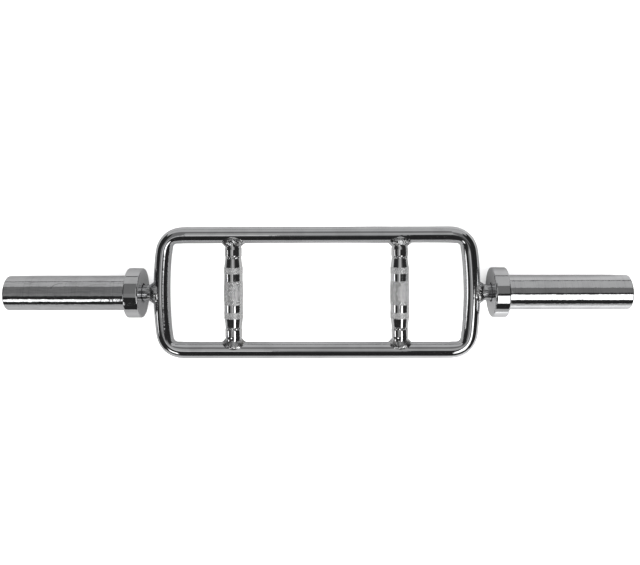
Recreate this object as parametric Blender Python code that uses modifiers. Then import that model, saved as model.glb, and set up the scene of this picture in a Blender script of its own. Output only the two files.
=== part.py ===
"""Triceps bar: a bent bar loop with two turned grips and two spinning sleeves.

The bar lies flat. The loop is in the XY plane, the sleeves turn about X, and
the origin is the middle of the bar on the axis of the sleeves. Left is -X.
"""

import math

import bmesh
import bpy

# Loop, bent from one round bar
BAR_RADIUS = 0.012
RAIL_OFFSET = 0.084
SIDE_OFFSET = 0.2255
SIDE_BOW_RADIUS = 0.555
CORNER_RADIUS = 0.0265

# Grips, turned between the rails
GRIP_OFFSET = 0.121
MAIN_KNURL_RADIUS = 0.0141
MAIN_KNURL_HALF = 0.017
PALM_RADIUS = 0.0134
SMALL_KNURL_RADIUS = 0.0137
SMALL_KNURL_START = 0.0283
SMALL_KNURL_END = 0.037
SHOULDER_PLACE = 0.0432
SHOULDER_RADIUS = 0.0121
WAIST_PLACE = 0.0514
WAIST_RADIUS = 0.0115
WAIST_WIDTH = 0.0012
EDGE_BREAK = 0.0004

# Weld beads round the ends of the grips and of the necks
WELD_CROWN_RADIUS = 0.0056
WELD_FLANK_RADIUS = 0.003
WELD_PATH_INSET = 0.001

# Sleeves, which carry the weight plates
NECK_LENGTH = 0.015
COLLAR_RADIUS = 0.036
COLLAR_WIDTH = 0.0215
COLLAR_WEB = 0.0115
COLLAR_EDGE = 0.0013
SLEEVE_RADIUS = 0.025
SLEEVE_WALL = 0.005
SLEEVE_LENGTH = 0.176
SLEEVE_EDGE = 0.0015
END_RECESS = 0.003
COUNTERBORE_RADIUS = 0.016

# Spindles and what runs on them
JOURNAL_RADIUS = 0.01
JOURNAL_EDGE = 0.001
BUSH_RADIUS = 0.0125
BUSH_BODY = 0.018
FLANGE_RADIUS = 0.0135
FLANGE_THICKNESS = 0.002
THRUST_THICKNESS = 0.0015

# End screw and its washers
SCREW_RADIUS = 0.005
SCREW_LENGTH = 0.03
SCREW_SPACE = 0.002
HEAD_RADIUS = 0.008
HEAD_HEIGHT = 0.01
HEAD_EDGE = 0.0006
HEAD_RECESS = 0.0015
SOCKET_ACROSS_FLATS = 0.008
SOCKET_DEPTH = 0.005
RETAINER_THICKNESS = 0.003
LOCK_RADIUS = 0.009
LOCK_THICKNESS = 0.0022
LOCK_SPLIT = 0.0025

# Clearance between neighbours, and how far a cutter runs past what it cuts
GAP = 0.0003
OVERCUT = 0.004

# Flats round each turned piece, and steps along the bends
COLLAR_SIDES = 24
SLEEVE_SIDES = 36
GRIP_SIDES = 24
INNER_SIDES = 24
CUTTER_SIDES = 32
BAR_BEVEL_STEPS = 8
WELD_BEVEL_STEPS = 2
WELD_STEPS = 24
SIDE_STEPS = 4
CORNER_STEPS = 8
CROWN_STEPS = 2
MERGE = 0.00001

# Stations along the axis of a sleeve, measured from the middle of the bar
COLLAR_START = SIDE_OFFSET + BAR_RADIUS + NECK_LENGTH
COLLAR_END = COLLAR_START + COLLAR_WIDTH
COLLAR_FLOOR = COLLAR_START + COLLAR_WEB
TUBE_START = COLLAR_FLOOR + GAP
TUBE_END = COLLAR_END + SLEEVE_LENGTH
INNER_HUB_START = COLLAR_FLOOR + GAP
INNER_FLANGE_START = INNER_HUB_START - GAP - FLANGE_THICKNESS
INNER_THRUST_START = INNER_FLANGE_START - GAP - THRUST_THICKNESS
SHOULDER = INNER_THRUST_START - GAP
HUB_END = TUBE_END - END_RECESS
HEAD_START = HUB_END - HEAD_RECESS - HEAD_HEIGHT
LOCK_START = HEAD_START - GAP - LOCK_THICKNESS
RETAINER_START = LOCK_START - GAP - RETAINER_THICKNESS
SPINDLE_END = RETAINER_START - GAP
OUTER_THRUST_START = SPINDLE_END - THRUST_THICKNESS
OUTER_FLANGE_END = OUTER_THRUST_START - GAP
HUB_SEAT = OUTER_FLANGE_END - FLANGE_THICKNESS - GAP
HUB_START = HUB_SEAT - BUSH_BODY - 2 * GAP

SIDES = (("left", -1), ("right", 1))
RAILS = (("top", 1), ("bottom", -1))


def flats_clear(radius, sides):
    """Corner radius of a polygon whose flats stay outside a circle of this radius."""
    return radius / math.cos(math.pi / sides)


def clear_scene():
    for item in list(bpy.data.objects):
        bpy.data.objects.remove(item, do_unlink=True)


def make_collection(name):
    group = bpy.data.collections.new(name)
    bpy.context.scene.collection.children.link(group)
    return group


def make_material(name, color, metallic, roughness):
    material = bpy.data.materials.new(name)
    material.use_nodes = True
    shader = material.node_tree.nodes["Principled BSDF"]
    shader.inputs["Base Color"].default_value = (*color, 1.0)
    shader.inputs["Metallic"].default_value = metallic
    shader.inputs["Roughness"].default_value = roughness
    material.diffuse_color = (*color, 1.0)
    return material


FINISHES = {
    "chrome": ((0.78, 0.78, 0.79), 1.0, 0.06),
    "knurled_chrome": ((0.74, 0.74, 0.75), 1.0, 0.3),
    "plated_weld": ((0.7, 0.7, 0.71), 1.0, 0.22),
    "ground_steel": ((0.5, 0.5, 0.52), 1.0, 0.3),
    "bronze": ((0.6, 0.4, 0.2), 1.0, 0.35),
    "black_oxide": ((0.05, 0.05, 0.055), 0.9, 0.4),
}


def add_part(name, data, finish, parent=None, place=(0, 0, 0), turn=(0, 0, 0)):
    """Adds one piece of the bar with a material of its own."""
    part = bpy.data.objects.new(name, data)
    part.parent = parent
    part.location = place
    part.rotation_euler = turn
    PARTS.objects.link(part)
    color, metallic, roughness = FINISHES[finish]
    material = make_material(name + "_" + finish, color, metallic, roughness)
    if not data.materials:
        data.materials.append(material)
    part.material_slots[0].link = "OBJECT"
    part.material_slots[0].material = material
    return part


def profile_mesh(name, points, sides, ring):
    """Draws a half section, given as radius and height, from top to bottom.

    It is drawn half a step off +X, so that flats face the floor. A ring closes
    on itself, and any other section starts and ends on the axis.
    """
    half_step = math.pi / sides
    verts = [(r * math.cos(half_step), r * math.sin(half_step), z) for r, z in points]
    edges = [(i, i + 1) for i in range(len(points) - 1)]
    if ring:
        edges.append((len(points) - 1, 0))
    mesh = bpy.data.meshes.new(name)
    mesh.from_pydata(verts, edges, [])
    return mesh


def turn_profile(part, sides):
    screw = part.modifiers.new("turned", "SCREW")
    screw.axis = "Z"
    screw.angle = math.tau
    screw.steps = sides
    screw.render_steps = sides
    screw.use_merge_vertices = True
    screw.merge_threshold = MERGE
    screw.use_smooth_shade = True


def add_turned(name, points, sides, finish, parent=None, place=(0, 0, 0), turn=(0, 0, 0), ring=True):
    part = add_part(name, profile_mesh(name, points, sides, ring), finish, parent, place, turn)
    turn_profile(part, sides)
    return part


def make_cutter(part):
    """Moves an object out of the model, so that it only cuts."""
    for group in list(part.users_collection):
        group.objects.unlink(part)
    CUTTERS.objects.link(part)
    part.hide_render = True
    part.display_type = "WIRE"
    return part


def cylinder_cutter(name, radius, length, place, turn, parent=None, sides=CUTTER_SIDES):
    bpy.ops.mesh.primitive_cylinder_add(vertices=sides, radius=flats_clear(radius, sides), depth=length)
    cutter = bpy.context.object
    cutter.name = name
    cutter.parent = parent
    cutter.location = place
    cutter.rotation_euler = turn
    return make_cutter(cutter)


def box_cutter(name, size, place, parent):
    bpy.ops.mesh.primitive_cube_add(size=1.0)
    cutter = bpy.context.object
    cutter.name = name
    cutter.parent = parent
    cutter.location = place
    cutter.scale = size
    return make_cutter(cutter)


def cut(part, cutter):
    boolean = part.modifiers.new("cut by " + cutter.name, "BOOLEAN")
    boolean.operation = "DIFFERENCE"
    boolean.solver = "EXACT"
    boolean.object = cutter


def evaluated_mesh(part):
    """Returns what the viewport shows of an object as a mesh with welded caps."""
    bpy.context.view_layer.update()
    graph = bpy.context.evaluated_depsgraph_get()
    mesh = bpy.data.meshes.new_from_object(part.evaluated_get(graph))
    work = bmesh.new()
    work.from_mesh(mesh)
    bmesh.ops.remove_doubles(work, verts=work.verts, dist=MERGE)
    work.to_mesh(mesh)
    work.free()
    return mesh


def smooth(mesh, angle=math.radians(40)):
    mesh.shade_smooth()
    mesh.set_sharp_from_angle(angle=angle)


def bar_curve(name, points, radii, bevel_resolution):
    """A closed round bar along points, with a radius for each of them."""
    curve = bpy.data.curves.new(name, "CURVE")
    curve.dimensions = "3D"
    curve.bevel_depth = 1.0
    curve.bevel_resolution = bevel_resolution
    curve.use_fill_caps = True
    spline = curve.splines.new("POLY")
    spline.points.add(len(points) - 1)
    for item, point, radius in zip(spline.points, points, radii):
        item.co = (*point, 1.0)
        item.radius = radius
    spline.use_cyclic_u = True
    spline.use_smooth = True
    return curve


def loop_quarter():
    """Centre line from the middle of the right side to the start of the top rail.

    The side is a wide arc about a point far to the left. The corner's arc
    touches it from the inside and ends level with the rail.
    """
    bow_centre = SIDE_OFFSET - SIDE_BOW_RADIUS
    corner_height = RAIL_OFFSET - CORNER_RADIUS
    corner_reach = math.sqrt((SIDE_BOW_RADIUS - CORNER_RADIUS) ** 2 - corner_height ** 2)
    corner_centre = bow_centre + corner_reach
    touch = math.atan2(corner_height, corner_reach)
    points = []
    for i in range(SIDE_STEPS):
        angle = touch * i / SIDE_STEPS
        points.append((bow_centre + SIDE_BOW_RADIUS * math.cos(angle), SIDE_BOW_RADIUS * math.sin(angle)))
    for i in range(CORNER_STEPS + 1):
        angle = touch + (math.pi / 2 - touch) * i / CORNER_STEPS
        x = corner_centre + CORNER_RADIUS * math.cos(angle)
        y = corner_height + CORNER_RADIUS * math.sin(angle)
        points.append((x, y))
    return points


def loop_points():
    """The whole centre line, anticlockwise, from the quarter mirrored three times."""
    quarter = loop_quarter()
    top_half = quarter + [(-x, y) for x, y in reversed(quarter)]
    bottom_half = [(x, -y) for x, y in reversed(top_half)][1:-1]
    return [(x, y, 0.0) for x, y in top_half + bottom_half]


def build_loop():
    points = loop_points()
    curve = bar_curve("frame_loop", points, [BAR_RADIUS] * len(points), BAR_BEVEL_STEPS)
    curve.twist_mode = "Z_UP"
    add_part("frame_loop", curve, "chrome")


def grip_profile():
    """Half section of a grip: a crowned knurl, palm rests, small knurls, and tapers to two waists."""
    step = SMALL_KNURL_RADIUS - PALM_RADIUS
    half = [(BAR_RADIUS, RAIL_OFFSET - GAP)]
    half.append((BAR_RADIUS, WAIST_PLACE + WAIST_WIDTH + BAR_RADIUS - WAIST_RADIUS))
    half.append((WAIST_RADIUS, WAIST_PLACE + WAIST_WIDTH))
    half.append((WAIST_RADIUS, WAIST_PLACE))
    half.append((SHOULDER_RADIUS, SHOULDER_PLACE))
    half.append((SMALL_KNURL_RADIUS, SMALL_KNURL_END))
    half.append((SMALL_KNURL_RADIUS, SMALL_KNURL_START + step))
    half.append((PALM_RADIUS, SMALL_KNURL_START))
    half.append((PALM_RADIUS, MAIN_KNURL_HALF + EDGE_BREAK))
    for i in range(CROWN_STEPS):
        place = 1.0 - i / CROWN_STEPS
        radius = MAIN_KNURL_RADIUS - EDGE_BREAK * place ** 2
        half.append((radius, MAIN_KNURL_HALF * place))
    lower = [(r, -z) for r, z in reversed(half)]
    end = RAIL_OFFSET - GAP
    return [(0.0, end)] + half + [(MAIN_KNURL_RADIUS, 0.0)] + lower + [(0.0, -end)]


def build_grips():
    """Grips run along Y, and their ends are coped to sit on the rails."""
    length = 2 * (GRIP_OFFSET + MAIN_KNURL_RADIUS + OVERCUT)
    copes = []
    for name, way in RAILS:
        place = (0, way * RAIL_OFFSET, 0)
        cutter = cylinder_cutter("rail_" + name + "_cutter", BAR_RADIUS + GAP, length, place, (0, math.pi / 2, 0))
        copes.append(cutter)
    for side, way in SIDES:
        place = (way * GRIP_OFFSET, 0, 0)
        turn = (-math.pi / 2, 0, 0)
        grip = add_turned("grip_" + side, grip_profile(), GRIP_SIDES, "knurled_chrome", None, place, turn, ring=False)
        for cutter in copes:
            cut(grip, cutter)


def weld_curve():
    """Seam where a branch along +Z meets a run along X, both as thick as the bar.

    The bead is thick at the run's crown and thin on its flanks.
    """
    path_radius = BAR_RADIUS - WELD_PATH_INSET
    points = []
    radii = []
    for i in range(WELD_STEPS):
        angle = math.tau * i / WELD_STEPS
        side = path_radius * math.sin(angle)
        points.append((path_radius * math.cos(angle), side, math.sqrt(BAR_RADIUS ** 2 - side ** 2)))
        radii.append(WELD_CROWN_RADIUS + (WELD_FLANK_RADIUS - WELD_CROWN_RADIUS) * math.sin(angle) ** 2)
    return bar_curve("weld_seam", points, radii, WELD_BEVEL_STEPS)


def weld_mesh():
    """The bead round the seam, less the room that the branch and the run need."""
    seam = bpy.data.objects.new("weld_seam", weld_curve())
    CUTTERS.objects.link(seam)
    bead = bpy.data.objects.new("weld_bead", evaluated_mesh(seam))
    CUTTERS.objects.link(bead)
    bpy.data.objects.remove(seam, do_unlink=True)
    length = 2 * (BAR_RADIUS + WELD_CROWN_RADIUS + OVERCUT)
    run = cylinder_cutter("weld_run_cutter", BAR_RADIUS + GAP, length, (0, 0, 0), (0, math.pi / 2, 0))
    branch = cylinder_cutter("weld_branch_cutter", BAR_RADIUS + GAP, 2 * length, (0, 0, 0), (0, 0, 0))
    cut(bead, run)
    cut(bead, branch)
    mesh = evaluated_mesh(bead)
    mesh.name = "weld_bead"
    smooth(mesh)
    for item in (bead, run, branch):
        bpy.data.objects.remove(item, do_unlink=True)
    return mesh


def build_welds():
    """Four beads where the grips meet the rails, and two where the necks meet the sides."""
    mesh = weld_mesh()
    for side, way in SIDES:
        for rail, rail_way in RAILS:
            place = (way * GRIP_OFFSET, rail_way * RAIL_OFFSET, 0)
            turn = (rail_way * math.pi / 2, 0, 0)
            add_part("grip_weld_" + side + "_" + rail, mesh, "plated_weld", None, place, turn)
        place = (way * SIDE_OFFSET, 0, 0)
        turn = (math.pi / 2, 0, way * math.pi / 2)
        add_part("neck_weld_" + side, mesh, "plated_weld", None, place, turn)


def build_axis(name, way):
    """An empty on the sleeve's axis at the collar, with its X pointing outward."""
    axis = bpy.data.objects.new(name, None)
    axis.location = (way * COLLAR_START, 0, 0)
    axis.rotation_euler = (0, 0, 0 if way > 0 else math.pi)
    axis.empty_display_size = COLLAR_RADIUS
    PARTS.objects.link(axis)
    return axis


def add_along_axis(name, points, sides, finish, axis, start, ring=True, flip=False):
    """A turned piece whose height runs outward from a station on the sleeve's axis."""
    place = (start - COLLAR_START, 0, 0)
    turn = (0, -math.pi / 2 if flip else math.pi / 2, 0)
    return add_turned(name, points, sides, finish, axis, place, turn, ring)


def washer_profile(inner, outer, thickness):
    return [(inner, thickness), (outer, thickness), (outer, 0.0), (inner, 0.0)]


def build_spindle(side, axis):
    """Neck, shoulder and journal in one, drilled at the end for the screw."""
    screw_bore = flats_clear(SCREW_RADIUS + GAP, INNER_SIDES)
    end = SPINDLE_END - SIDE_OFFSET
    drill_end = HEAD_START - SCREW_LENGTH - SCREW_SPACE - SIDE_OFFSET
    shoulder = SHOULDER - SIDE_OFFSET
    points = [
        (0.0, drill_end),
        (screw_bore, drill_end),
        (screw_bore, end),
        (JOURNAL_RADIUS - JOURNAL_EDGE, end),
        (JOURNAL_RADIUS, end - JOURNAL_EDGE),
        (JOURNAL_RADIUS, shoulder),
        (BAR_RADIUS - EDGE_BREAK, shoulder),
        (BAR_RADIUS, shoulder - EDGE_BREAK),
        (BAR_RADIUS, GAP),
        (0.0, GAP),
    ]
    spindle = add_along_axis("spindle_" + side, points, INNER_SIDES, "chrome", axis, SIDE_OFFSET, ring=False)
    place = (SIDE_OFFSET - COLLAR_START, 0, 0)
    length = 2 * (BAR_RADIUS + OVERCUT)
    cutter = cylinder_cutter(
        "side_member_cutter_" + side, BAR_RADIUS + GAP, length, place, (math.pi / 2, 0, 0), axis)
    cut(spindle, cutter)


def build_collar(side, axis):
    """Disc that stops the plates, bored for the neck and recessed for the tube."""
    rim = flats_clear(COLLAR_RADIUS, COLLAR_SIDES)
    bore = flats_clear(FLANGE_RADIUS + GAP, COLLAR_SIDES)
    recess = flats_clear(SLEEVE_RADIUS + GAP, COLLAR_SIDES)
    points = [
        (recess, COLLAR_WIDTH),
        (rim - COLLAR_EDGE, COLLAR_WIDTH),
        (rim, COLLAR_WIDTH - COLLAR_EDGE),
        (rim, COLLAR_EDGE),
        (rim - COLLAR_EDGE, 0.0),
        (bore + EDGE_BREAK, 0.0),
        (bore, EDGE_BREAK),
        (bore, COLLAR_WEB),
        (recess, COLLAR_WEB),
    ]
    add_along_axis("collar_" + side, points, COLLAR_SIDES, "chrome", axis, COLLAR_START)


def build_tube(side, axis):
    """Tube that the plates slide on, with a bevelled outer end."""
    length = TUBE_END - TUBE_START
    inner = SLEEVE_RADIUS - SLEEVE_WALL
    points = [
        (inner + EDGE_BREAK, length),
        (SLEEVE_RADIUS - SLEEVE_EDGE, length),
        (SLEEVE_RADIUS, length - SLEEVE_EDGE),
        (SLEEVE_RADIUS, 0.0),
        (inner, 0.0),
        (inner, length - EDGE_BREAK),
    ]
    add_along_axis("sleeve_tube_" + side, points, SLEEVE_SIDES, "chrome", axis, TUBE_START)


def build_hubs(side, axis):
    """Plugs in the ends of the tube that seat the bushes. The outer one also hides the screw."""
    outer = SLEEVE_RADIUS - SLEEVE_WALL - GAP
    seat_radius = flats_clear(BUSH_RADIUS + GAP, SLEEVE_SIDES)
    counterbore = flats_clear(COUNTERBORE_RADIUS, SLEEVE_SIDES)
    inner_hub = washer_profile(seat_radius, outer, BUSH_BODY + 2 * GAP)
    add_along_axis("inner_hub_" + side, inner_hub, SLEEVE_SIDES, "ground_steel", axis, INNER_HUB_START)
    length = HUB_END - HUB_START
    seat = HUB_SEAT - HUB_START
    points = [
        (counterbore + EDGE_BREAK, length),
        (outer, length),
        (outer, 0.0),
        (seat_radius, 0.0),
        (seat_radius, seat),
        (counterbore, seat),
        (counterbore, length - EDGE_BREAK),
    ]
    add_along_axis("end_hub_" + side, points, SLEEVE_SIDES, "ground_steel", axis, HUB_START)


def build_bushes(side, axis):
    """Two flanged bushes, pressed into the hubs with their flanges outward."""
    bore = flats_clear(JOURNAL_RADIUS + GAP, INNER_SIDES)
    length = FLANGE_THICKNESS + BUSH_BODY
    points = [
        (BUSH_RADIUS, length),
        (BUSH_RADIUS, FLANGE_THICKNESS),
        (FLANGE_RADIUS, FLANGE_THICKNESS),
        (FLANGE_RADIUS, 0.0),
        (bore, 0.0),
        (bore, length),
    ]
    add_along_axis("inner_bush_" + side, points, INNER_SIDES, "bronze", axis, INNER_FLANGE_START)
    add_along_axis("outer_bush_" + side, points, INNER_SIDES, "bronze", axis, OUTER_FLANGE_END, flip=True)


def build_thrust_washers(side, axis):
    """Steel rings that take the side load between each bush and what stops it."""
    bore = flats_clear(JOURNAL_RADIUS + GAP, INNER_SIDES)
    points = washer_profile(bore, FLANGE_RADIUS, THRUST_THICKNESS)
    for name, start in (("inner", INNER_THRUST_START), ("outer", OUTER_THRUST_START)):
        add_along_axis(name + "_thrust_washer_" + side, points, INNER_SIDES, "ground_steel", axis, start)


def build_end_washers(side, axis):
    """The retaining washer that keeps the sleeve on, and the split washer that locks the screw."""
    bore = flats_clear(SCREW_RADIUS + GAP, INNER_SIDES)
    reach = COUNTERBORE_RADIUS - 2 * GAP
    retainer = washer_profile(bore, reach, RETAINER_THICKNESS)
    add_along_axis("retaining_washer_" + side, retainer, INNER_SIDES, "ground_steel", axis, RETAINER_START)
    ring = washer_profile(bore, LOCK_RADIUS, LOCK_THICKNESS)
    lock = add_along_axis("lock_washer_" + side, ring, INNER_SIDES, "ground_steel", axis, LOCK_START)
    size = (LOCK_THICKNESS + OVERCUT, LOCK_SPLIT, LOCK_RADIUS)
    place = (LOCK_START + LOCK_THICKNESS / 2 - COLLAR_START, 0, LOCK_RADIUS)
    cut(lock, box_cutter("split_cutter_" + side, size, place, axis))


def build_screw(side, axis):
    """Socket head screw that runs into the drilled end of the spindle."""
    points = [
        (0.0, HEAD_HEIGHT),
        (HEAD_RADIUS - HEAD_EDGE, HEAD_HEIGHT),
        (HEAD_RADIUS, HEAD_HEIGHT - HEAD_EDGE),
        (HEAD_RADIUS, 0.0),
        (SCREW_RADIUS, 0.0),
        (SCREW_RADIUS, -SCREW_LENGTH),
        (0.0, -SCREW_LENGTH),
    ]
    screw = add_along_axis("end_screw_" + side, points, INNER_SIDES, "black_oxide", axis, HEAD_START, ring=False)
    place = (HEAD_START + HEAD_HEIGHT - COLLAR_START, 0, 0)
    socket = cylinder_cutter(
        "socket_cutter_" + side, SOCKET_ACROSS_FLATS / 2, 2 * SOCKET_DEPTH, place, (0, math.pi / 2, 0), axis, 6)
    cut(screw, socket)


clear_scene()
PARTS = make_collection("triceps_bar")
CUTTERS = make_collection("cutters")
build_loop()
build_grips()
build_welds()
for side_name, side_way in SIDES:
    side_axis = build_axis("sleeve_axis_" + side_name, side_way)
    build_spindle(side_name, side_axis)
    build_collar(side_name, side_axis)
    build_tube(side_name, side_axis)
    build_hubs(side_name, side_axis)
    build_bushes(side_name, side_axis)
    build_thrust_washers(side_name, side_axis)
    build_end_washers(side_name, side_axis)
    build_screw(side_name, side_axis)
bpy.context.view_layer.update()
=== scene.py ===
"""Triceps bar in chrome plate, seen from above as it lies flat. Metres, Z up."""

import bmesh
import bpy
import numpy as np
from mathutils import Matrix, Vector


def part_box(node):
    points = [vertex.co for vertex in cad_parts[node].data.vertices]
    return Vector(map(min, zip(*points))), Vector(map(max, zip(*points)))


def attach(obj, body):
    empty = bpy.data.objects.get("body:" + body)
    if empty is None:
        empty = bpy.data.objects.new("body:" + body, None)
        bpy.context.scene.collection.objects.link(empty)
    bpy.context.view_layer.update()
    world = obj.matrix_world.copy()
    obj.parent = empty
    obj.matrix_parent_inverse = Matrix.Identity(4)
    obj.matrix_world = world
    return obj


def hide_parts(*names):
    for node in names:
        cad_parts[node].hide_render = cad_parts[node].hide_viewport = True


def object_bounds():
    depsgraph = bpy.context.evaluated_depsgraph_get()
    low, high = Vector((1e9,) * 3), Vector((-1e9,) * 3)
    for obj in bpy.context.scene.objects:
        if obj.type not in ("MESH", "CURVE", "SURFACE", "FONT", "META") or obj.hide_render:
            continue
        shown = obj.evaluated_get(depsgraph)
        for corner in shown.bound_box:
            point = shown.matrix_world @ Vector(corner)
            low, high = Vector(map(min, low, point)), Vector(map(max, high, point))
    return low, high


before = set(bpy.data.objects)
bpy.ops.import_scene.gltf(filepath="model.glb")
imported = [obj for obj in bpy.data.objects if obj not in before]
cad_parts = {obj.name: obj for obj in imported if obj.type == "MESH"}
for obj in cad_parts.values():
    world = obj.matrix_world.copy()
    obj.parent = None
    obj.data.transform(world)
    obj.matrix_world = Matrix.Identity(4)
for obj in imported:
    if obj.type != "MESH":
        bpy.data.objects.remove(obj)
cad_box = [list(corner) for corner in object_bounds()]


# Camera
# It looks down on the bar from about a metre, a little from behind the top rail.
# Its place and lens were fitted to thirty edges of the bar in the photograph.
camera_place = (0.01936, 0.1469, 1.0454)
camera_tilt = (-1.194, 0.759, -0.212)
lens_mm = 40.519
sensor_mm = 36.0
shift_up = -76 / 640

view = bpy.data.cameras.new("view")
view.sensor_width = sensor_mm
view.lens = lens_mm
view.shift_y = shift_up
view.clip_start = 0.01
viewer = bpy.data.objects.new("view", view)
viewer.rotation_mode = "ZXY"
viewer.rotation_euler = np.radians(camera_tilt)
viewer.location = camera_place
bpy.context.scene.collection.objects.link(viewer)
bpy.context.scene.camera = viewer
bpy.context.scene.view_settings.view_transform = "Standard"


# Floor
# A sheet of plain white studio paper that the collars stand on. The photograph's bar is
# cut out on white, so the paper is white to the eye and plain grey in the plate.
floor_half = 6.0
floor_height = cad_box[0][2]
paper_white = 0.93
paper_in_plate = 0.235


def new_material(name):
    """An empty material, returned with its node tree."""
    material = bpy.data.materials.new(name)
    material.use_nodes = True
    tree = material.node_tree
    tree.nodes.clear()
    return material, tree


def add_node(tree, kind, settings=None, **inputs):
    """Adds a node, sets its own settings, and fills or links the inputs that are named."""
    node = tree.nodes.new(kind)
    for key, value in (settings or {}).items():
        setattr(node, key, value)
    for key, value in inputs.items():
        name = key.replace("_", " ") if not key.startswith("at") else int(key[2:])
        socket = node.inputs[name]
        if isinstance(value, bpy.types.NodeSocket):
            tree.links.new(value, socket)
        else:
            socket.default_value = value
    return node


def sheet_mesh(name, half, height):
    """A flat grid of two by two corners at one height."""
    span = np.array([-half, half])
    x, y = np.meshgrid(span, span)
    points = np.stack([x, y, np.full_like(x, height)], axis=-1).reshape(-1, 3)
    mesh = bpy.data.meshes.new(name)
    mesh.from_pydata(points.tolist(), [], [(0, 1, 3, 2)])
    return mesh


def paper_material():
    """Plain white paper to the eye and plain pale grey paper in the plate."""
    material, tree = new_material("studio_paper")
    seen = add_node(tree, "ShaderNodeBsdfDiffuse", Color=(paper_white,) * 3 + (1,))
    mirrored = add_node(tree, "ShaderNodeBsdfDiffuse", Color=(paper_in_plate,) * 3 + (1,))
    glossy = add_node(tree, "ShaderNodeLightPath").outputs["Is Glossy Ray"]
    both = add_node(tree, "ShaderNodeMixShader", at0=glossy, at1=seen.outputs[0], at2=mirrored.outputs[0])
    add_node(tree, "ShaderNodeOutputMaterial", Surface=both.outputs[0])
    return material


floor = bpy.data.objects.new("studio_floor", sheet_mesh("studio_floor", floor_half, floor_height))
floor.data.materials.append(paper_material())
bpy.context.scene.collection.objects.link(floor)


# Studio light
# Even white light, and a lamp at the front right. The plate mirrors a dark room with three
# pale walls, a dim ceiling, two grey panels and four soft boxes, each even and soft-edged.
room_light = 2.1
room_dark = 0.02
box_edge = 3.5
box_end = 0.01
soft_boxes = {
    "back_wall": (0.46, (-85, -52), (-0.7, 0.7)),
    "front_wall": (0.46, (77, 100), (-0.7, 0.7)),
    "right_wall": (0.46, (-54, -38), (0.21, 0.5)),
    "dim_ceiling": (0.17, (-52, -3), (-0.45, 0.45)),
    "front_panel": (0.22, (-3, 12), (-0.55, 0.1)),
    "overhead_panel": (0.4, (-26, 0), (-0.2, 0.2)),
    "right_box": (1.9, (11, 43), (0.21, 0.5)),
    "left_box": (1.9, (38, 50), (-0.5, -0.287)),
    "far_left_box": (1.6, (20, 45), (-0.98, -0.9)),
    "small_box": (0.75, (2, 8), (-0.2, -0.08)),
}
lamp_place = Vector((0.5, -0.6, 0.35))
lamp_aim = Vector((0.42, -0.12, floor_height))
lamp_watts = 10.0
lamp_size = 0.35


def calc(tree, operation, *values):
    """A Math node on numbers or sockets, returned as its output."""
    inputs = {f"at{i}": value for i, value in enumerate(values)}
    return add_node(tree, "ShaderNodeMath", {"operation": operation}, **inputs).outputs[0]


def chain(tree, operation, first, *others):
    """Several numbers or sockets put through the same Math operation in turn."""
    for other in others:
        first = calc(tree, operation, first, other)
    return first


def fade(tree, value, low, high):
    """Rises smoothly from 0 to 1 while the value goes from low to high."""
    settings = {"interpolation_type": "SMOOTHSTEP"}
    return add_node(tree, "ShaderNodeMapRange", settings, Value=value, at1=low, at2=high).outputs[0]


def mix(tree, factor, low, high):
    """A blend of two numbers or sockets."""
    return add_node(tree, "ShaderNodeMix", {"data_type": "FLOAT"}, at0=factor, at2=low, at3=high).outputs[0]


def soft_box(tree, about_x, across, level, angles, reach):
    """One even light with soft edges: between two angles in degrees about the bar's length
    from straight up, and between two shares of the way across to the right."""
    low, high = (np.radians(angle) for angle in angles)
    edge = np.radians(box_edge)
    inside = calc(
        tree, "MULTIPLY", fade(tree, about_x, low - edge, low), fade(tree, about_x, high + edge, high))
    ends = calc(
        tree, "MULTIPLY", fade(tree, across, reach[0] - box_end, reach[0]),
        fade(tree, across, reach[1] + box_end, reach[1]))
    return chain(tree, "MULTIPLY", inside, ends, level)


def room_world():
    """White all round to the eye and to the paper, and the soft boxes to the plate."""
    world = bpy.data.worlds.new("studio")
    bpy.context.scene.world = world
    world.use_nodes = True
    tree = world.node_tree
    tree.nodes.clear()
    way = add_node(tree, "ShaderNodeTexCoord").outputs["Generated"]
    x, y, z = add_node(tree, "ShaderNodeSeparateXYZ", Vector=way).outputs
    about_x = calc(tree, "ARCTAN2", calc(tree, "MULTIPLY", y, -1.0), z)
    level = room_dark
    for bright, angles, reach in soft_boxes.values():
        level = calc(tree, "MAXIMUM", level, soft_box(tree, about_x, x, bright, angles, reach))
    glossy = add_node(tree, "ShaderNodeLightPath").outputs["Is Glossy Ray"]
    light = add_node(
        tree, "ShaderNodeBackground", Color=(1, 1, 1, 1), Strength=mix(tree, glossy, room_light, level))
    add_node(tree, "ShaderNodeOutputWorld", Surface=light.outputs[0])


room_world()
lamp = bpy.data.objects.new("side_lamp", bpy.data.lights.new("side_lamp", "AREA"))
lamp.data.energy = lamp_watts
lamp.data.size = lamp_size
lamp.location = lamp_place
lamp.visible_glossy = False
lamp.rotation_euler = (lamp_aim - lamp_place).to_track_quat("-Z", "Y").to_euler()
bpy.context.scene.collection.objects.link(lamp)


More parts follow.
